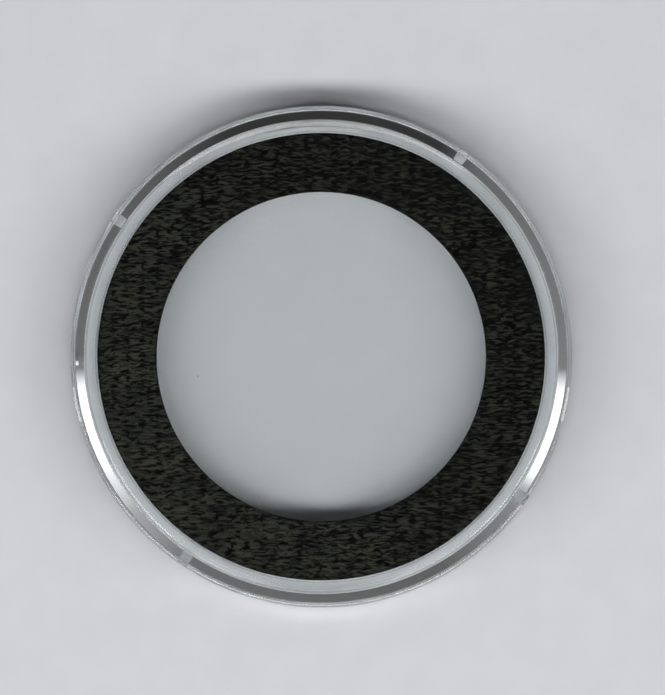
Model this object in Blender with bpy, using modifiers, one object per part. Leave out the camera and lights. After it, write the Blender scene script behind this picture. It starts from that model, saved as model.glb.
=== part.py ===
"""A round, clear, ring-type coin capsule: two moulded shells that press together over a foam ring.

It lies on its back face, at z = 0, with the capsule's axis along Z and its front window on top.
"""

import math

import bpy
import bmesh
from mathutils import Matrix, Vector

# Driving dimensions, in metres.
OUTER_RADIUS = 0.02275  # back flange and front skirt, 45.5 mm across
HEIGHT = 0.0060  # back face to front face
WINDOW = 0.0011  # thickness of both window discs
WELL_RADIUS = 0.0205  # inside of the collar
COLLAR_WALL = 0.0010
COLLAR_SLOPE = math.radians(7.5)  # its top face falls inwards, as a lead-in for the foam ring
COLLAR_GAP = 0.0003  # outer edge of that face to the underside of the front window
SKIRT_WALL = 0.00041
CONE_RADIUS = 0.02152  # where the cone inside the front shell's corner starts
CONE_ANGLE = math.radians(43.0)  # the cone's slope, from there down to the skirt
PARTING_Z = 0.0014  # top of the back flange
PARTING_GAP = 0.0002  # fingernail groove between flange and skirt
RIM_CHAMFER = 0.00025  # front edge of the skirt and lower edge of the flange
FOAM_HOLE_RADIUS = 0.01495  # holds a coin of 30 mm
FOAM_SIDE_GAP = 0.00015  # foam to collar, on the radius
FOAM_FACE_GAP = 0.00025  # foam to each window

COLLAR_RADIUS = WELL_RADIUS + COLLAR_WALL
SKIRT_BORE = OUTER_RADIUS - SKIRT_WALL
SKIRT_FOOT = PARTING_Z + PARTING_GAP
COLLAR_TOP = HEIGHT - WINDOW - COLLAR_GAP

# Moulded details, by their angle round the axis from +X, in degrees.
RIB_ANGLES = (55.0, 146.0, 236.0, 325.0)
RIB_WIDTH = 0.0011  # at its root, on the skirt
RIB_GAP = 0.00008  # rib to collar, on the radius
RIB_LEAD = 0.0004  # how far above the skirt's foot the ribs start
NOTCH_ANGLES = (131.0, 311.0)
NOTCH_WIDTH = 0.0014
NOTCH_DEPTH = 0.00022
NOTCH_HEIGHT = 0.0008
FRONT_GATE_ANGLE = 180.0
DIMPLE_WIDTH = 0.0012  # sunk round the gate, so that what is left of it isn't proud
DIMPLE_HEIGHTS = (0.0030, 0.0042)
DIMPLE_DEPTH = 0.00012
BACK_GATE_ANGLE = 11.0
BACK_GATE_WIDTH = 0.0026  # flat left on the flange where its gate was cut off

TURN_STEPS = 128
OVERLAP = 0.0003  # how far a cutter or a joined detail runs past the surface it meets
SHARP_ANGLE = math.radians(30.0)


def clear_scene():
    for obj in list(bpy.data.objects):
        bpy.data.objects.remove(obj, do_unlink=True)


def new_collection(name):
    collection = bpy.data.collections.new(name)
    bpy.context.scene.collection.children.link(collection)
    return collection


def clear_plastic(name):
    """Water-clear acrylic with a polished mould finish."""
    material = bpy.data.materials.new(name)
    material.use_nodes = True
    shader = material.node_tree.nodes["Principled BSDF"]
    shader.inputs["Base Color"].default_value = (0.93, 0.95, 0.96, 1.0)
    shader.inputs["Roughness"].default_value = 0.04
    shader.inputs["Metallic"].default_value = 0.0
    shader.inputs["IOR"].default_value = 1.49
    shader.inputs["Transmission Weight"].default_value = 1.0
    shader.inputs["Alpha"].default_value = 0.35
    return material


def black_foam(name):
    """Closed-cell polyethylene foam, dyed black."""
    material = bpy.data.materials.new(name)
    material.use_nodes = True
    shader = material.node_tree.nodes["Principled BSDF"]
    shader.inputs["Base Color"].default_value = (0.018, 0.018, 0.016, 1.0)
    shader.inputs["Roughness"].default_value = 0.85
    shader.inputs["Metallic"].default_value = 0.0
    return material


def turned(name, outline, closed, material, collection):
    """A shape turned about Z from (radius, height) points that run down its outer side."""
    bm = bmesh.new()
    corners = [bm.verts.new((radius, 0.0, z)) for radius, z in outline]
    for start, end in zip(corners, corners[1:]):
        bm.edges.new((start, end))
    if closed:
        bm.edges.new((corners[-1], corners[0]))
    mesh = bpy.data.meshes.new(name)
    bm.to_mesh(mesh)
    bm.free()
    mesh.materials.append(material)
    obj = bpy.data.objects.new(name, mesh)
    collection.objects.link(obj)
    screw = obj.modifiers.new("Turn", "SCREW")
    screw.axis = "Z"
    screw.angle = 2.0 * math.pi
    screw.steps = TURN_STEPS
    screw.render_steps = TURN_STEPS
    screw.use_merge_vertices = True
    screw.merge_threshold = 1e-6
    return obj


def block(name, angle_deg, radii, heights, width, collection, taper=1.0):
    """A hidden block at an angle round the axis. taper narrows its inner face."""
    bm = bmesh.new()
    bmesh.ops.create_cube(bm, size=1.0)
    depth = radii[1] - radii[0]
    rise = heights[1] - heights[0]
    bmesh.ops.scale(bm, vec=Vector((depth, width, rise)), verts=bm.verts)
    inner = [vert for vert in bm.verts if vert.co.x < 0.0]
    bmesh.ops.scale(bm, vec=Vector((1.0, taper, 1.0)), verts=inner)
    middle = Vector((sum(radii) / 2.0, 0.0, sum(heights) / 2.0))
    bmesh.ops.translate(bm, vec=middle, verts=bm.verts)
    turn = Matrix.Rotation(math.radians(angle_deg), 3, "Z")
    bmesh.ops.rotate(bm, cent=Vector((0.0, 0.0, 0.0)), matrix=turn, verts=bm.verts)
    mesh = bpy.data.meshes.new(name)
    bm.to_mesh(mesh)
    bm.free()
    obj = bpy.data.objects.new(name, mesh)
    obj.hide_render = True
    obj.display_type = "WIRE"
    collection.objects.link(obj)
    return obj


def combine(obj, other, operation):
    """Adds the other shape to the object, or cuts it away."""
    modifier = obj.modifiers.new(other.name, "BOOLEAN")
    modifier.operation = operation
    modifier.solver = "EXACT"
    modifier.object = other


def front_shell(parts, cutters, plastic):
    """The window disc, the skirt round it with a cone in the corner, and the ribs that grip the collar."""
    cone_drop = (SKIRT_BORE - CONE_RADIUS) * math.tan(CONE_ANGLE)
    outline = [
        (0.0, HEIGHT),
        (OUTER_RADIUS - RIM_CHAMFER, HEIGHT),
        (OUTER_RADIUS, HEIGHT - RIM_CHAMFER),
        (OUTER_RADIUS, SKIRT_FOOT),
        (SKIRT_BORE, SKIRT_FOOT),
        (SKIRT_BORE, HEIGHT - WINDOW - cone_drop),
        (CONE_RADIUS, HEIGHT - WINDOW),
        (0.0, HEIGHT - WINDOW),
    ]
    shell = turned("front_shell", outline, False, plastic, parts)
    for number, angle in enumerate(RIB_ANGLES):
        radii = (COLLAR_RADIUS + RIB_GAP, SKIRT_BORE + OVERLAP)
        heights = (SKIRT_FOOT + RIB_LEAD, HEIGHT - WINDOW + OVERLAP)
        rib = block(f"rib_{number}", angle, radii, heights, RIB_WIDTH, cutters, taper=0.9)
        combine(shell, rib, "UNION")
    for number, angle in enumerate(NOTCH_ANGLES):
        radii = (OUTER_RADIUS - NOTCH_DEPTH, OUTER_RADIUS + OVERLAP)
        heights = (SKIRT_FOOT - OVERLAP, SKIRT_FOOT + NOTCH_HEIGHT)
        notch = block(f"notch_{number}", angle, radii, heights, NOTCH_WIDTH, cutters)
        combine(shell, notch, "DIFFERENCE")
    dimple_radii = (OUTER_RADIUS - DIMPLE_DEPTH, OUTER_RADIUS + OVERLAP)
    dimple = block(
        "gate_dimple", FRONT_GATE_ANGLE, dimple_radii, DIMPLE_HEIGHTS, DIMPLE_WIDTH, cutters
    )
    combine(shell, dimple, "DIFFERENCE")
    return shell


def back_shell(parts, cutters, plastic):
    """The window disc, its flange, and the collar that walls the well."""
    outline = [
        (0.0, WINDOW),
        (WELL_RADIUS, WINDOW),
        (WELL_RADIUS, COLLAR_TOP - COLLAR_WALL * math.tan(COLLAR_SLOPE)),
        (COLLAR_RADIUS, COLLAR_TOP),
        (COLLAR_RADIUS, PARTING_Z),
        (OUTER_RADIUS, PARTING_Z),
        (OUTER_RADIUS, RIM_CHAMFER),
        (OUTER_RADIUS - RIM_CHAMFER, 0.0),
        (0.0, 0.0),
    ]
    shell = turned("back_shell", outline, False, plastic, parts)
    flat_radius = math.sqrt(OUTER_RADIUS**2 - (BACK_GATE_WIDTH / 2.0) ** 2)
    flat_radii = (flat_radius, OUTER_RADIUS + OVERLAP)
    flat_heights = (-OVERLAP, PARTING_Z + OVERLAP / 3.0)
    flat = block(
        "back_gate_flat", BACK_GATE_ANGLE, flat_radii, flat_heights, 2.0 * BACK_GATE_WIDTH, cutters
    )
    combine(shell, flat, "DIFFERENCE")
    return shell


def foam_ring(parts, foam):
    """A die-cut ring of flat foam sheet, as deep as the well less a little play."""
    low = WINDOW + FOAM_FACE_GAP
    high = HEIGHT - WINDOW - FOAM_FACE_GAP
    outer = WELL_RADIUS - FOAM_SIDE_GAP
    outline = [
        (FOAM_HOLE_RADIUS, high),
        (outer, high),
        (outer, low),
        (FOAM_HOLE_RADIUS, low),
    ]
    return turned("foam_ring", outline, True, foam, parts)


def finish(objects):
    """Keeps each finished shape as its object's own mesh, round walls smooth and corners sharp."""
    graph = bpy.context.evaluated_depsgraph_get()
    meshes = [bpy.data.meshes.new_from_object(obj.evaluated_get(graph)) for obj in objects]
    for obj, mesh in zip(objects, meshes):
        mesh.name = obj.name
        obj.modifiers.clear()
        obj.data = mesh
        mesh.shade_smooth()
        mesh.set_sharp_from_angle(angle=SHARP_ANGLE)


def build():
    clear_scene()
    parts = new_collection("coin_capsule")
    cutters = new_collection("cutters")
    plastic = clear_plastic("clear_acrylic")
    front = front_shell(parts, cutters, plastic)
    back = back_shell(parts, cutters, plastic)
    ring = foam_ring(parts, black_foam("black_foam"))
    finish([front, back, ring])


build()
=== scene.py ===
"""Looks for the coin capsule: two clear moulded shells pressed together over a black foam ring."""

import math

import bmesh
import bpy
from mathutils import Matrix, Vector, noise


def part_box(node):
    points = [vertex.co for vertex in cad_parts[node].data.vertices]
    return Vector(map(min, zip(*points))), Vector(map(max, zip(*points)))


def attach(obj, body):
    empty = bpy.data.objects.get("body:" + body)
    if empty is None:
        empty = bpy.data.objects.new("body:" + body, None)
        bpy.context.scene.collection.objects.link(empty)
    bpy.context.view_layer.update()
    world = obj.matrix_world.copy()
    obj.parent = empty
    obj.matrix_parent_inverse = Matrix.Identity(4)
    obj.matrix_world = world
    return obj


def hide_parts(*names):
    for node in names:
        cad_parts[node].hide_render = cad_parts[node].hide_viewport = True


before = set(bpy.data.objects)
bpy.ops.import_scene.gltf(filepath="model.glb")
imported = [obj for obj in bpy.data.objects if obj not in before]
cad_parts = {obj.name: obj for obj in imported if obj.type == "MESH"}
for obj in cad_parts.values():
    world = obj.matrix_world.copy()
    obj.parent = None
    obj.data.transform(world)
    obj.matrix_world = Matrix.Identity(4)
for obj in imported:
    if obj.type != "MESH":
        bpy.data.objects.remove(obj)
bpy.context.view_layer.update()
mm = 0.001


# ---------------------------------------------------------------------------
# Back shell. The lower half, injection moulded in one piece of water-clear
# acrylic: a flat window disc, a flange round it, and the collar that walls the
# well. It lies on the sheet. Its gate was cut off flush, which left a flat.

back_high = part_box("back_shell")[1]
WINDOW = 1.1 * mm  # thickness of both window discs
WELL_RADIUS = 20.5 * mm
COLLAR_RADIUS = 21.5 * mm
COLLAR_SLOPE = math.radians(7.5)  # the collar's top face falls inwards
COLLAR_HOLLOW = 0.012 * mm  # and is very slightly hollow, which softens the light it mirrors
FLANGE_TOP = 1.4 * mm
FLANGE_CHAMFER = 0.25 * mm
TURN_STEPS = 720
MOULD_ROUNDING = 0.04 * mm  # a polished mould's corners are nearly sharp
CORNER_ANGLE = math.radians(6.0)  # a fold over this angle is a corner
ACRYLIC_IOR = 1.49
outer_radius = back_high.x


def turned(outline):
    """A mesh turned about Z from (radius, height) points, its corners rounded."""
    bm = bmesh.new()
    corners = [bm.verts.new((radius, 0.0, z)) for radius, z in outline]
    for start, end in zip(corners, corners[1:]):
        bm.edges.new((start, end))
    bmesh.ops.spin(
        bm,
        geom=bm.verts[:] + bm.edges[:],
        cent=(0.0, 0.0, 0.0),
        axis=(0.0, 0.0, 1.0),
        angle=2.0 * math.pi,
        steps=TURN_STEPS,
        use_merge=True,
        use_duplicate=False,
    )
    bmesh.ops.remove_doubles(bm, verts=bm.verts, dist=1e-7)
    bmesh.ops.recalc_face_normals(bm, faces=bm.faces)
    sharp = [e for e in bm.edges if e.calc_face_angle(0.0) > CORNER_ANGLE]
    bmesh.ops.bevel(
        bm,
        geom=sharp,
        offset=MOULD_ROUNDING,
        segments=3,
        profile=0.5,
        affect="EDGES",
        material=-1,
    )
    bm.normal_update()
    return bm


def piece(name, bm, material):
    """An object made from a finished mesh, shaded smooth."""
    mesh = bpy.data.meshes.new(name)
    bm.to_mesh(mesh)
    bm.free()
    mesh.shade_smooth()
    mesh.materials.append(material)
    obj = bpy.data.objects.new(name, mesh)
    bpy.context.scene.collection.objects.link(obj)
    return obj


def keep_true(shell):
    """Keeps a shell's flat and conical faces true right up to their rounded edges."""
    shell.data.set_sharp_from_angle(angle=CORNER_ANGLE)


def turned_by(point, degrees):
    """The point as it is when its piece is turned back by that angle about Z."""
    return Matrix.Rotation(-math.radians(degrees), 3, "Z") @ point


SCRATCH_TURNS = (0.35, 1.9)  # the two ways that the hairlines run, in radians
SCRATCH_SPREAD = (900.0, 45.0, 45.0)  # hairlines are long and close together
SCRATCH_LEVELS = (0.68, 0.74)
SCRATCH_ROUGHNESS = 0.10
POLISHED_ROUGHNESS = 0.004
SCRATCH_CUT = -0.05
DUST_SPREAD = 210.0
DUST_SIZES = (0.022, 0.012)
FLOW_SPREAD = 160.0
CLEAR_TINT = (0.975, 0.985, 0.985, 1.0)
DUST_TINT = (0.30, 0.28, 0.25, 1.0)


def handling_marks():
    """Hairline scratches, dust and the moulding's faint flow, shared by both shells."""
    group = bpy.data.node_groups.new("handling_marks", "ShaderNodeTree")
    sockets = group.interface
    sockets.new_socket("Position", in_out="INPUT", socket_type="NodeSocketVector")
    sockets.new_socket("Scratches", in_out="INPUT", socket_type="NodeSocketFloat")
    sockets.new_socket("Dust", in_out="INPUT", socket_type="NodeSocketFloat")
    sockets.new_socket("Colour", in_out="OUTPUT", socket_type="NodeSocketColor")
    sockets.new_socket("Roughness", in_out="OUTPUT", socket_type="NodeSocketFloat")
    sockets.new_socket("Height", in_out="OUTPUT", socket_type="NodeSocketFloat")
    nodes, links = group.nodes, group.links
    given = nodes.new("NodeGroupInput")
    result = nodes.new("NodeGroupOutput")

    hairlines = []
    for number, turn in enumerate(SCRATCH_TURNS):
        place = nodes.new("ShaderNodeMapping")
        place.inputs["Rotation"].default_value = (0.0, 0.0, turn)
        place.inputs["Scale"].default_value = SCRATCH_SPREAD
        place.inputs["Location"].default_value = (7.3 * number, 1.7, 0.0)
        links.new(given.outputs["Position"], place.inputs["Vector"])
        lines = nodes.new("ShaderNodeTexNoise")
        lines.inputs["Scale"].default_value = 1.0
        lines.inputs["Detail"].default_value = 2.0
        lines.inputs["Distortion"].default_value = 0.15
        links.new(place.outputs["Vector"], lines.inputs["Vector"])
        keep = nodes.new("ShaderNodeMapRange")
        keep.inputs["From Min"].default_value = SCRATCH_LEVELS[0]
        keep.inputs["From Max"].default_value = SCRATCH_LEVELS[1]
        links.new(lines.outputs["Fac"], keep.inputs["Value"])
        hairlines.append(keep.outputs["Result"])
    either = nodes.new("ShaderNodeMath")
    either.operation = "MAXIMUM"
    links.new(hairlines[0], either.inputs[0])
    links.new(hairlines[1], either.inputs[1])
    scratched = nodes.new("ShaderNodeMath")
    scratched.operation = "MULTIPLY"
    links.new(either.outputs["Value"], scratched.inputs[0])
    links.new(given.outputs["Scratches"], scratched.inputs[1])

    specks = nodes.new("ShaderNodeTexVoronoi")
    specks.feature = "F1"
    specks.inputs["Scale"].default_value = DUST_SPREAD
    links.new(given.outputs["Position"], specks.inputs["Vector"])
    near = nodes.new("ShaderNodeMapRange")
    near.inputs["From Min"].default_value = DUST_SIZES[0]
    near.inputs["From Max"].default_value = DUST_SIZES[1]
    links.new(specks.outputs["Distance"], near.inputs["Value"])
    dusty = nodes.new("ShaderNodeMath")
    dusty.operation = "MULTIPLY"
    links.new(near.outputs["Result"], dusty.inputs[0])
    links.new(given.outputs["Dust"], dusty.inputs[1])

    tint = nodes.new("ShaderNodeMix")
    tint.data_type = "RGBA"
    tint.inputs["A"].default_value = CLEAR_TINT
    tint.inputs["B"].default_value = DUST_TINT
    links.new(dusty.outputs["Value"], tint.inputs["Factor"])
    links.new(tint.outputs["Result"], result.inputs["Colour"])

    rough = nodes.new("ShaderNodeMath")
    rough.operation = "MULTIPLY_ADD"
    rough.inputs[1].default_value = SCRATCH_ROUGHNESS
    rough.inputs[2].default_value = POLISHED_ROUGHNESS
    links.new(scratched.outputs["Value"], rough.inputs[0])
    links.new(rough.outputs["Value"], result.inputs["Roughness"])

    flow = nodes.new("ShaderNodeTexNoise")
    flow.inputs["Scale"].default_value = FLOW_SPREAD
    flow.inputs["Detail"].default_value = 1.0
    links.new(given.outputs["Position"], flow.inputs["Vector"])
    height = nodes.new("ShaderNodeMath")
    height.operation = "MULTIPLY_ADD"
    height.inputs[1].default_value = SCRATCH_CUT
    links.new(scratched.outputs["Value"], height.inputs[0])
    links.new(flow.outputs["Fac"], height.inputs[2])
    links.new(height.outputs["Value"], result.inputs["Height"])
    return group


marks = handling_marks()


def clear_acrylic(name, scratches, dust):
    """Water-clear acrylic from a polished mould."""
    material = bpy.data.materials.new(name)
    material.use_nodes = True
    nodes, links = material.node_tree.nodes, material.node_tree.links
    shader = nodes["Principled BSDF"]
    shader.inputs["IOR"].default_value = ACRYLIC_IOR
    shader.inputs["Transmission Weight"].default_value = 1.0
    shader.inputs["Metallic"].default_value = 0.0
    coordinates = nodes.new("ShaderNodeTexCoord")
    worn = nodes.new("ShaderNodeGroup")
    worn.node_tree = marks
    worn.inputs["Scratches"].default_value = scratches
    worn.inputs["Dust"].default_value = dust
    links.new(coordinates.outputs["Object"], worn.inputs["Position"])
    links.new(worn.outputs["Colour"], shader.inputs["Base Color"])
    links.new(worn.outputs["Roughness"], shader.inputs["Roughness"])
    relief = nodes.new("ShaderNodeBump")
    relief.inputs["Strength"].default_value = 0.02
    relief.inputs["Distance"].default_value = 0.0001
    links.new(worn.outputs["Height"], relief.inputs["Height"])
    links.new(relief.outputs["Normal"], shader.inputs["Normal"])
    return material


collar_top = back_high.z
collar_wall = COLLAR_RADIUS - WELL_RADIUS
collar_drop = collar_wall * math.tan(COLLAR_SLOPE)
back_bm = turned(
    [
        (0.0, WINDOW),
        (WELL_RADIUS, WINDOW),
        (WELL_RADIUS, collar_top - collar_drop),
        (WELL_RADIUS + collar_wall / 3.0, collar_top - collar_drop * 2.0 / 3.0 - COLLAR_HOLLOW),
        (WELL_RADIUS + collar_wall * 2.0 / 3.0, collar_top - collar_drop / 3.0 - COLLAR_HOLLOW),
        (COLLAR_RADIUS, collar_top),
        (COLLAR_RADIUS, FLANGE_TOP),
        (outer_radius, FLANGE_TOP),
        (outer_radius, FLANGE_CHAMFER),
        (outer_radius - FLANGE_CHAMFER, 0.0),
        (0.0, 0.0),
    ]
)
BACK_GATE_ANGLE = 11.0
BACK_GATE_WIDTH = 2.6 * mm  # the flat left where the gate was cut off
gate_flat = math.sqrt(outer_radius**2 - (BACK_GATE_WIDTH / 2.0) ** 2)
for vert in back_bm.verts:
    level = turned_by(vert.co, BACK_GATE_ANGLE)
    if level.x > gate_flat:
        level.x = gate_flat
        vert.co = turned_by(level, -BACK_GATE_ANGLE)
back_shell = piece("back_shell_moulding", back_bm, clear_acrylic("back_acrylic", 0.6, 0.0))
keep_true(back_shell)
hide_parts("back_shell")
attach(back_shell, "base")


# ---------------------------------------------------------------------------
# Foam ring. Black closed-cell polyethylene foam, die cut from flat sheet, loose
# in the well. The sheet was drawn as it was made, so its skin is torn by short
# wavy creases that all run one way, and its cut walls show open cells.

foam_low, foam_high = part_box("foam_ring")
FOAM_HOLE_RADIUS = 14.95 * mm
SECTORS = 32  # the ring is turned as one sector, which is then copied round
SECTOR_STEPS = 45
FOAM_EDGE = 0.12 * mm  # rounding that the die leaves on the rims
RIDGE_LENGTH = 1.35 * mm  # along X, the way that the sheet was drawn
RIDGE_WIDTH = 0.23 * mm
RIDGE_WAVE = 0.8  # how far the ridges sway, in their own widths
CREASE_DEPTH = 0.10 * mm
# This side also sets where painted shade darkens the foam's colour.
TORN_AND_SHADED_SIDE = math.radians(35.0)  # the creases are widest on this side of the ring
WALL_CELL = 0.30 * mm
WALL_RELIEF = 0.05 * mm
WALL_INSET = 0.02 * mm  # keeps the cut walls clear of the collar and the coin
SWELL_SPREAD = 260.0
SWELL_DEPTH = 0.03 * mm
CUTS = {"top": 67, "wall": 21, "under": 11}  # along each side of the section

foam_inner = FOAM_HOLE_RADIUS + WALL_INSET
foam_outer = foam_high.x - WALL_INSET
foam_bm = bmesh.new()
ring_outline = [
    (foam_inner, foam_high.z),
    (foam_outer, foam_high.z),
    (foam_outer, foam_low.z),
    (foam_inner, foam_low.z),
]
ring_corners = [foam_bm.verts.new((radius, 0.0, z)) for radius, z in ring_outline]
for start, end in zip(ring_corners, ring_corners[1:] + ring_corners[:1]):
    foam_bm.edges.new((start, end))
bmesh.ops.bevel(
    foam_bm,
    geom=ring_corners,
    offset=FOAM_EDGE,
    segments=3,
    profile=0.5,
    affect="VERTICES",
    material=-1,
)
for edge in list(foam_bm.edges):
    first, last = (vert.co for vert in edge.verts)
    if (first - last).length < FOAM_EDGE * 2.0:
        continue
    if abs(first.z - last.z) > FOAM_EDGE:
        side = "wall"
    elif first.z > (foam_low.z + foam_high.z) / 2.0:
        side = "top"
    else:
        side = "under"
    bmesh.ops.subdivide_edges(foam_bm, edges=[edge], cuts=CUTS[side])
sector = 2.0 * math.pi / SECTORS
bmesh.ops.spin(
    foam_bm,
    geom=foam_bm.verts[:] + foam_bm.edges[:],
    cent=(0.0, 0.0, 0.0),
    axis=(0.0, 0.0, 1.0),
    angle=sector,
    steps=SECTOR_STEPS,
    use_duplicate=False,
)
copied = 1
while copied < SECTORS:
    everything = foam_bm.verts[:] + foam_bm.edges[:] + foam_bm.faces[:]
    copy = bmesh.ops.duplicate(foam_bm, geom=everything)["geom"]
    bmesh.ops.rotate(
        foam_bm,
        cent=(0.0, 0.0, 0.0),
        matrix=Matrix.Rotation(sector * copied, 3, "Z"),
        verts=[part for part in copy if isinstance(part, bmesh.types.BMVert)],
    )
    copied *= 2
bmesh.ops.remove_doubles(foam_bm, verts=foam_bm.verts, dist=1e-6)
bmesh.ops.recalc_face_normals(foam_bm, faces=foam_bm.faces)
foam_bm.normal_update()


def ramp(value, start, end):
    """Runs smoothly from 0 at start to 1 at end."""
    share = min(1.0, max(0.0, (value - start) / (end - start)))
    return share * share * (3.0 - 2.0 * share)


def drawn_skin(point):
    """How high the skin stands there: 1 on a ridge, 0 in the bed of a crease."""
    x, y = point.x / RIDGE_LENGTH, point.y / RIDGE_WIDTH
    y += RIDGE_WAVE * noise.noise(Vector((x * 1.4, y * 0.30, 2.0)))
    fold = abs(noise.noise(Vector((x, y, 5.0))))
    short = noise.noise(Vector((x * 1.7, y * 1.2, 9.0)))
    towards_torn = point.x * math.cos(TORN_AND_SHADED_SIDE) + point.y * math.sin(TORN_AND_SHADED_SIDE)
    torn = 0.5 + 0.5 * towards_torn / foam_outer
    return ramp(fold, -0.03, 0.15 + 0.11 * torn) * ramp(short, -0.50, -0.08 + 0.22 * torn)


def cut_cells(point):
    """The same for the cut wall, where the die opened round cells."""
    near, next_near = noise.voronoi(point / WALL_CELL)[0][:2]
    return min(1.0, (next_near - near) * 2.2)


moves = []
# Each vertex keeps its height for the foam's colour, where it paints shade: the creases and the
# hollows between the open cells come out darker.
skin_height = foam_bm.verts.layers.float.new("skin_height")
for vert in foam_bm.verts:
    radius = math.hypot(vert.co.x, vert.co.y)
    facing = vert.normal.z
    wall = max(0.0, 1.0 - abs(facing) * 1.6)
    skin = drawn_skin(vert.co) if abs(facing) > 0.1 else 0.7
    opened = cut_cells(vert.co) if wall > 0.0 else 1.0
    vert[skin_height] = skin * (1.0 - wall) + opened * wall
    drop = (1.0 - skin) * CREASE_DEPTH * max(0.0, facing)
    swell = noise.noise(vert.co * SWELL_SPREAD) * SWELL_DEPTH
    outward = Vector((vert.co.x, vert.co.y, 0.0)) / radius
    if radius < (foam_inner + foam_outer) / 2.0:
        outward = -outward
    dig = (1.0 - opened) * WALL_RELIEF * wall
    moves.append((vert, Vector((0.0, 0.0, min(0.0, swell - drop))) - outward * dig))
for vert, move in moves:
    vert.co += move


def foam_black():
    """Dyed polyethylene foam: matt and olive-black, with painted shade that turns the creases and the
    hollows between the open cells black, and more painted shade towards one side of the ring.
    """
    material = bpy.data.materials.new("foam_black")
    material.use_nodes = True
    nodes, links = material.node_tree.nodes, material.node_tree.links
    shader = nodes["Principled BSDF"]
    shader.inputs["Specular IOR Level"].default_value = 0.15
    coordinates = nodes.new("ShaderNodeTexCoord")
    height = nodes.new("ShaderNodeAttribute")
    height.attribute_name = "skin_height"

    patches = nodes.new("ShaderNodeTexNoise")
    patches.inputs["Scale"].default_value = 320.0
    patches.inputs["Detail"].default_value = 3.0
    links.new(coordinates.outputs["Object"], patches.inputs["Vector"])
    stretch = nodes.new("ShaderNodeMapping")
    stretch.inputs["Scale"].default_value = (900.0, 4200.0, 2500.0)
    links.new(coordinates.outputs["Object"], stretch.inputs["Vector"])
    fibres = nodes.new("ShaderNodeTexNoise")
    fibres.inputs["Scale"].default_value = 1.0
    fibres.inputs["Detail"].default_value = 3.0
    links.new(stretch.outputs["Vector"], fibres.inputs["Vector"])

    # Painted shade: the skin's height, times the fibres' grain, picks the colour, so the creases and
    # the cell hollows come out near black and the ridges olive-black.
    mixed = nodes.new("ShaderNodeMath")
    mixed.operation = "MULTIPLY"
    links.new(height.outputs["Fac"], mixed.inputs[0])
    links.new(fibres.outputs["Fac"], mixed.inputs[1])
    crease_shade_and_grain = nodes.new("ShaderNodeValToRGB")
    crease_shade_and_grain.color_ramp.elements[0].position = 0.06
    crease_shade_and_grain.color_ramp.elements[0].color = (0.0006, 0.0007, 0.0006, 1.0)
    crease_shade_and_grain.color_ramp.elements[1].position = 0.56
    crease_shade_and_grain.color_ramp.elements[1].color = (0.043, 0.045, 0.034, 1.0)
    middle = crease_shade_and_grain.color_ramp.elements.new(0.26)
    middle.color = (0.0105, 0.011, 0.0085, 1.0)
    links.new(mixed.outputs["Value"], crease_shade_and_grain.inputs["Fac"])
    dyed_and_shaded = nodes.new("ShaderNodeMix")
    dyed_and_shaded.data_type = "RGBA"
    dyed_and_shaded.blend_type = "MULTIPLY"
    dyed_and_shaded.inputs["Factor"].default_value = 0.6
    links.new(crease_shade_and_grain.outputs["Color"], dyed_and_shaded.inputs["A"])
    tone = nodes.new("ShaderNodeValToRGB")
    tone.color_ramp.elements[0].position = 0.35
    tone.color_ramp.elements[0].color = (0.55, 0.57, 0.62, 1.0)
    tone.color_ramp.elements[1].position = 0.65
    tone.color_ramp.elements[1].color = (1.25, 1.2, 1.1, 1.0)
    links.new(patches.outputs["Fac"], tone.inputs["Fac"])
    links.new(tone.outputs["Color"], dyed_and_shaded.inputs["B"])
    # Painted shade across the ring: the colour is multiplied from 1.06 on one side down to 0.76
    # towards the torn side.
    across = nodes.new("ShaderNodeMapping")
    across.inputs["Rotation"].default_value = (0.0, 0.0, -TORN_AND_SHADED_SIDE)
    links.new(coordinates.outputs["Object"], across.inputs["Vector"])
    side = nodes.new("ShaderNodeSeparateXYZ")
    links.new(across.outputs["Vector"], side.inputs["Vector"])
    painted_side_shade = nodes.new("ShaderNodeMapRange")
    painted_side_shade.inputs["From Min"].default_value = -0.018
    painted_side_shade.inputs["From Max"].default_value = 0.018
    painted_side_shade.inputs["To Min"].default_value = 1.06
    painted_side_shade.inputs["To Max"].default_value = 0.76
    links.new(side.outputs["X"], painted_side_shade.inputs["Value"])
    side_shaded_colour = nodes.new("ShaderNodeMix")
    side_shaded_colour.data_type = "RGBA"
    side_shaded_colour.blend_type = "MULTIPLY"
    side_shaded_colour.inputs["Factor"].default_value = 1.0
    links.new(dyed_and_shaded.outputs["Result"], side_shaded_colour.inputs["A"])
    links.new(painted_side_shade.outputs["Result"], side_shaded_colour.inputs["B"])
    links.new(side_shaded_colour.outputs["Result"], shader.inputs["Base Color"])

    rough = nodes.new("ShaderNodeMapRange")
    rough.inputs["To Min"].default_value = 0.92
    rough.inputs["To Max"].default_value = 0.68
    links.new(mixed.outputs["Value"], rough.inputs["Value"])
    links.new(rough.outputs["Result"], shader.inputs["Roughness"])
    grain = nodes.new("ShaderNodeBump")
    grain.inputs["Strength"].default_value = 0.35
    grain.inputs["Distance"].default_value = 0.00004
    links.new(fibres.outputs["Fac"], grain.inputs["Height"])
    links.new(grain.outputs["Normal"], shader.inputs["Normal"])
    return material


foam_ring = piece("foam_ring_cut", foam_bm, foam_black())
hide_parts("foam_ring")
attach(foam_ring, "ring")


# ---------------------------------------------------------------------------
# Front shell. The upper half, moulded like the back: a flat window disc, a thin
# skirt that closes over the collar, and a cone in the corner between them. Four
# ribs on the skirt's bore grip the collar, and two notches take a fingernail.

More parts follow.
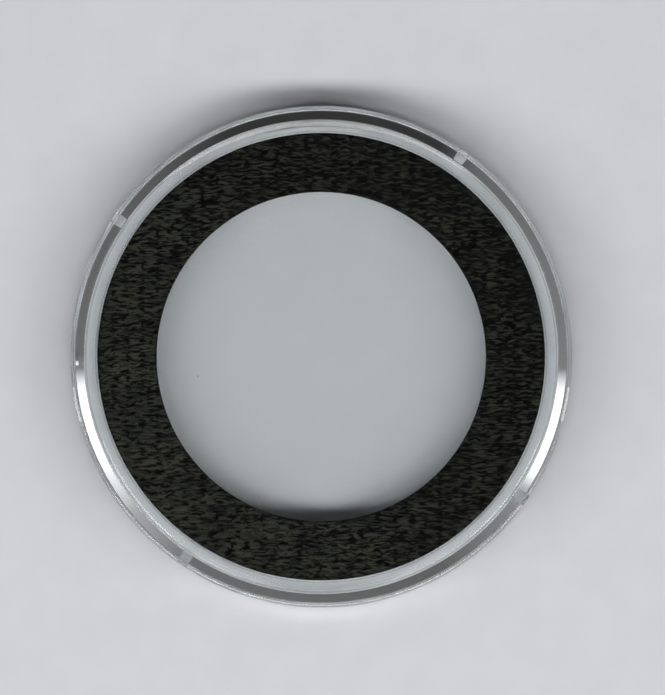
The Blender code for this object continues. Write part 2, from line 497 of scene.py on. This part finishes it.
front_low, front_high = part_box("front_shell")
SKIRT_BORE = 22.34 * mm
CONE_RADIUS = 21.52 * mm
CONE_ANGLE = math.radians(43.0)
RIM_CHAMFER = 0.25 * mm
front_radius = front_high.x
window_under = front_high.z - WINDOW
cone_foot = window_under - (SKIRT_BORE - CONE_RADIUS) * math.tan(CONE_ANGLE)
front_bm = turned(
    [
        (0.0, front_high.z),
        (front_radius - RIM_CHAMFER, front_high.z),
        (front_radius, front_high.z - RIM_CHAMFER),
        (front_radius, front_low.z),
        (SKIRT_BORE, front_low.z),
        (SKIRT_BORE, cone_foot),
        (CONE_RADIUS, window_under),
        (0.0, window_under),
    ]
)

NOTCH_ANGLES = (131.0, 311.0)
NOTCH_WIDTH = 1.4 * mm
NOTCH_DEPTH = 0.22 * mm
NOTCH_HEIGHT = 0.8 * mm
DIMPLE_ANGLE = 180.0  # sunk round the gate, so that what is left of it isn't proud
DIMPLE_WIDTH = 1.2 * mm
DIMPLE_DEPTH = 0.12 * mm
DIMPLE_FOOT = 3.0 * mm
DIMPLE_HEAD = 4.2 * mm
SIDE = 0.25 * mm  # how far the wall of a notch or dimple leans
notch_head = front_low.z + NOTCH_HEIGHT


def cut_level(level):
    """Puts a straight ring of edges round the skirt, for a notch or dimple to end on."""
    bmesh.ops.bisect_plane(
        front_bm,
        geom=front_bm.verts[:] + front_bm.edges[:] + front_bm.faces[:],
        dist=1e-7,
        plane_co=(0.0, 0.0, level),
        plane_no=(0.0, 0.0, 1.0),
    )


def sink(angle, width, depth, bottom, top):
    """Sinks the skirt's outer wall between two heights, over a width at an angle."""
    for vert in front_bm.verts:
        level = turned_by(vert.co, angle)
        if level.x < front_radius - MOULD_ROUNDING * 1.5 or not bottom <= level.z <= top:
            continue
        outside = ramp(abs(level.y), (width - SIDE) / 2.0, (width + SIDE) / 2.0)
        level.x -= depth * (1.0 - outside)
        vert.co = turned_by(level, -angle)


for level in (notch_head, notch_head + SIDE):
    cut_level(level)
for angle in NOTCH_ANGLES:
    sink(angle, NOTCH_WIDTH, NOTCH_DEPTH, 0.0, notch_head + SIDE / 2.0)
for level in (DIMPLE_FOOT, DIMPLE_FOOT - SIDE, DIMPLE_HEAD, DIMPLE_HEAD + SIDE):
    cut_level(level)
sink(
    DIMPLE_ANGLE,
    DIMPLE_WIDTH,
    DIMPLE_DEPTH,
    DIMPLE_FOOT - SIDE / 2.0,
    DIMPLE_HEAD + SIDE / 2.0,
)

RIB_ANGLES = (55.0, 146.0, 236.0, 325.0)
RIB_WIDTH = 1.1 * mm
RIB_GAP = 0.08 * mm
RIB_LEAD = 0.4 * mm
RIB_ROUNDING = 0.12 * mm
RIB_TAPER = 0.9  # its inner face is this much of its root's width
ROOT_OVERLAP = 0.2 * mm  # how far a rib runs into the skirt before they are joined
HEAD_OVERLAP = 0.3 * mm
rib_bm = bmesh.new()
inner, root = COLLAR_RADIUS + RIB_GAP, SKIRT_BORE + ROOT_OVERLAP
foot, head = front_low.z + RIB_LEAD, window_under + HEAD_OVERLAP
for angle in RIB_ANGLES:
    fresh = bmesh.ops.create_cube(rib_bm, size=1.0)["verts"]
    bmesh.ops.scale(rib_bm, vec=(root - inner, RIB_WIDTH, head - foot), verts=fresh)
    narrow = [vert for vert in fresh if vert.co.x < 0.0]
    bmesh.ops.scale(rib_bm, vec=(1.0, RIB_TAPER, 1.0), verts=narrow)
    bmesh.ops.translate(
        rib_bm, vec=((root + inner) / 2.0, 0.0, (foot + head) / 2.0), verts=fresh
    )
    turn = Matrix.Rotation(math.radians(angle), 3, "Z")
    bmesh.ops.rotate(rib_bm, cent=(0.0, 0.0, 0.0), matrix=turn, verts=fresh)
inner_edges = [
    edge
    for edge in rib_bm.edges
    if all(vert.co.xy.length < (inner + root) / 2.0 for vert in edge.verts)
    and abs(edge.verts[0].co.z - edge.verts[1].co.z) > RIB_LEAD
]
bmesh.ops.bevel(
    rib_bm,
    geom=inner_edges,
    offset=RIB_ROUNDING,
    segments=4,
    profile=0.5,
    affect="EDGES",
    material=-1,
)
front_acrylic = clear_acrylic("front_acrylic", 0.8, 1.0)
plain_shell = piece("plain_shell", front_bm, front_acrylic)
ribs = piece("ribs_to_join", rib_bm, front_acrylic)
join = plain_shell.modifiers.new("ribs", "BOOLEAN")
join.operation = "UNION"
join.solver = "EXACT"
join.object = ribs
graph = bpy.context.evaluated_depsgraph_get()
joined_bm = bmesh.new()
joined_bm.from_object(plain_shell, graph)
for used in (plain_shell, ribs):
    bpy.data.objects.remove(used, do_unlink=True)
front_shell = piece("front_shell_moulding", joined_bm, front_acrylic)
keep_true(front_shell)
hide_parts("front_shell")
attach(front_shell, "lid")


# ---------------------------------------------------------------------------
# The sheet that the capsule lies on, the lamp, the room and the camera. None of
# them is part of the object. The lamp is a long soft strip on the -Y side, and
# the rim mirrors the room: dark towards +Y and overhead, pale at both sides.

SHEET_GAP = 0.02 * mm
SHEET_HALF = 1.5
sheet_bm = bmesh.new()
bmesh.ops.create_grid(sheet_bm, x_segments=8, y_segments=8, size=SHEET_HALF)
bmesh.ops.translate(sheet_bm, vec=(0.0, 0.0, -SHEET_GAP), verts=sheet_bm.verts)
paper = bpy.data.materials.new("pale_sheet")
paper.use_nodes = True
paper_nodes, paper_links = paper.node_tree.nodes, paper.node_tree.links
paper_shader = paper_nodes["Principled BSDF"]
paper_shader.inputs["Roughness"].default_value = 0.9
paper_shader.inputs["Specular IOR Level"].default_value = 0.2
paper_place = paper_nodes.new("ShaderNodeTexCoord")
mottle = paper_nodes.new("ShaderNodeTexNoise")
mottle.inputs["Scale"].default_value = 300.0
mottle.inputs["Detail"].default_value = 4.0
paper_links.new(paper_place.outputs["Object"], mottle.inputs["Vector"])
paper_tone = paper_nodes.new("ShaderNodeValToRGB")
paper_tone.color_ramp.elements[0].position = 0.3
paper_tone.color_ramp.elements[0].color = (0.735, 0.752, 0.785, 1.0)
paper_tone.color_ramp.elements[1].position = 0.7
paper_tone.color_ramp.elements[1].color = (0.765, 0.780, 0.812, 1.0)
paper_links.new(mottle.outputs["Fac"], paper_tone.inputs["Fac"])
paper_links.new(paper_tone.outputs["Color"], paper_shader.inputs["Base Color"])
sheet = piece("sheet", sheet_bm, paper)

LAMP_LEAN = math.radians(18.0)
LAMP_AWAY = 0.6
LAMP_LENGTH = 2.2
LAMP_WIDTH = 0.13
LAMP_POWER = 6.55
strip_light = bpy.data.lights.new("strip_lamp", "AREA")
strip_light.shape = "RECTANGLE"
strip_light.size = LAMP_LENGTH
strip_light.size_y = LAMP_WIDTH
strip_light.energy = LAMP_POWER
strip_light.color = (1.0, 0.995, 0.99)
strip = bpy.data.objects.new("strip_lamp", strip_light)
bpy.context.scene.collection.objects.link(strip)
strip.location = (0.0, -math.sin(LAMP_LEAN) * LAMP_AWAY, math.cos(LAMP_LEAN) * LAMP_AWAY)
strip.rotation_euler = (LAMP_LEAN, 0.0, 0.0)
strip.visible_camera = False

room = bpy.data.worlds.new("room")
bpy.context.scene.world = room
room.use_nodes = True
room_nodes, room_links = room.node_tree.nodes, room.node_tree.links
background = room_nodes["Background"]
towards = room_nodes.new("ShaderNodeTexCoord")
split = room_nodes.new("ShaderNodeSeparateXYZ")
room_links.new(towards.outputs["Generated"], split.inputs["Vector"])
bearing = room_nodes.new("ShaderNodeMath")
bearing.operation = "ARCTAN2"
room_links.new(split.outputs["Y"], bearing.inputs[0])
room_links.new(split.outputs["X"], bearing.inputs[1])
turn_share = room_nodes.new("ShaderNodeMapRange")
turn_share.inputs["From Min"].default_value = -math.pi
turn_share.inputs["From Max"].default_value = math.pi
room_links.new(bearing.outputs["Value"], turn_share.inputs["Value"])
horizon = room_nodes.new("ShaderNodeValToRGB")
room_links.new(turn_share.outputs["Result"], horizon.inputs["Fac"])
# Brightness of the room near the horizon, by bearing in degrees from +X.
HORIZON = [
    (-180.0, 0.20), (-177.0, 0.24), (-172.0, 1.4), (-158.0, 1.4), (-140.0, 0.42), (-122.0, 0.16),
    (-60.0, 0.13), (-38.0, 0.26), (-33.0, 0.45), (-28.0, 1.4), (-9.0, 1.4), (-3.0, 0.22), (50.0, 0.14),
    (60.0, 0.035), (112.0, 0.035), (135.0, 0.11), (180.0, 0.16),
]
stops = horizon.color_ramp.elements
while len(stops) < len(HORIZON):
    stops.new(1.0)
for number, (degrees, light) in enumerate(HORIZON):
    stops[number].position = (degrees + 180.0) / 360.0
    stops[number].color = (light * 0.97, light * 0.99, light, 1.0)
upward = room_nodes.new("ShaderNodeMapRange")
upward.inputs["From Min"].default_value = 0.25
upward.inputs["From Max"].default_value = 0.45
room_links.new(split.outputs["Z"], upward.inputs["Value"])
sky = room_nodes.new("ShaderNodeMix")
sky.data_type = "RGBA"
room_links.new(upward.outputs["Result"], sky.inputs["Factor"])
room_links.new(horizon.outputs["Color"], sky.inputs["A"])
overhead = room_nodes.new("ShaderNodeMapRange")
overhead.inputs["From Min"].default_value = 0.93
overhead.inputs["From Max"].default_value = 0.98
overhead.inputs["To Min"].default_value = 0.09
overhead.inputs["To Max"].default_value = 0.012
room_links.new(split.outputs["Z"], overhead.inputs["Value"])
room_links.new(overhead.outputs["Result"], sky.inputs["B"])
seen = room_nodes.new("ShaderNodeLightPath")
backdrop = room_nodes.new("ShaderNodeMix")
backdrop.data_type = "RGBA"
backdrop.inputs["B"].default_value = (0.62, 0.64, 0.66, 1.0)
room_links.new(seen.outputs["Is Camera Ray"], backdrop.inputs["Factor"])
room_links.new(sky.outputs["Result"], backdrop.inputs["A"])
room_links.new(backdrop.outputs["Result"], background.inputs["Color"])

# The camera looks straight down from well above. The middle of its view lies a
# little to the right of the capsule's axis and a little towards +Y.
CAMERA_AWAY = 1.2
FRAMED_LEVEL = 5.0 * mm  # the view's height is measured this far above the sheet
VIEW_HEIGHT = 63.106 * mm
VIEW_MIDDLE = (1.026 * mm, 0.835 * mm)
eye = bpy.data.cameras.new("eye")
eye.sensor_fit = "AUTO"
eye.sensor_width = 36.0
eye.lens = eye.sensor_width * (CAMERA_AWAY - FRAMED_LEVEL) / VIEW_HEIGHT
eye.clip_end = 10.0
camera = bpy.data.objects.new("camera", eye)
bpy.context.scene.collection.objects.link(camera)
camera.location = (*VIEW_MIDDLE, CAMERA_AWAY)
bpy.context.scene.camera = camera

# Light has to cross up to ten walls of clear plastic to reach the sheet and
# come back, and the sharp images in the rim are lost if gloss is blurred.
BOUNCES = 32
scene = bpy.context.scene
scene.view_settings.view_transform = "Standard"
scene.cycles.max_bounces = BOUNCES
scene.cycles.transmission_bounces = BOUNCES
scene.cycles.transparent_max_bounces = BOUNCES
scene.cycles.blur_glossy = 0.0
scene.cycles.caustics_reflective = False
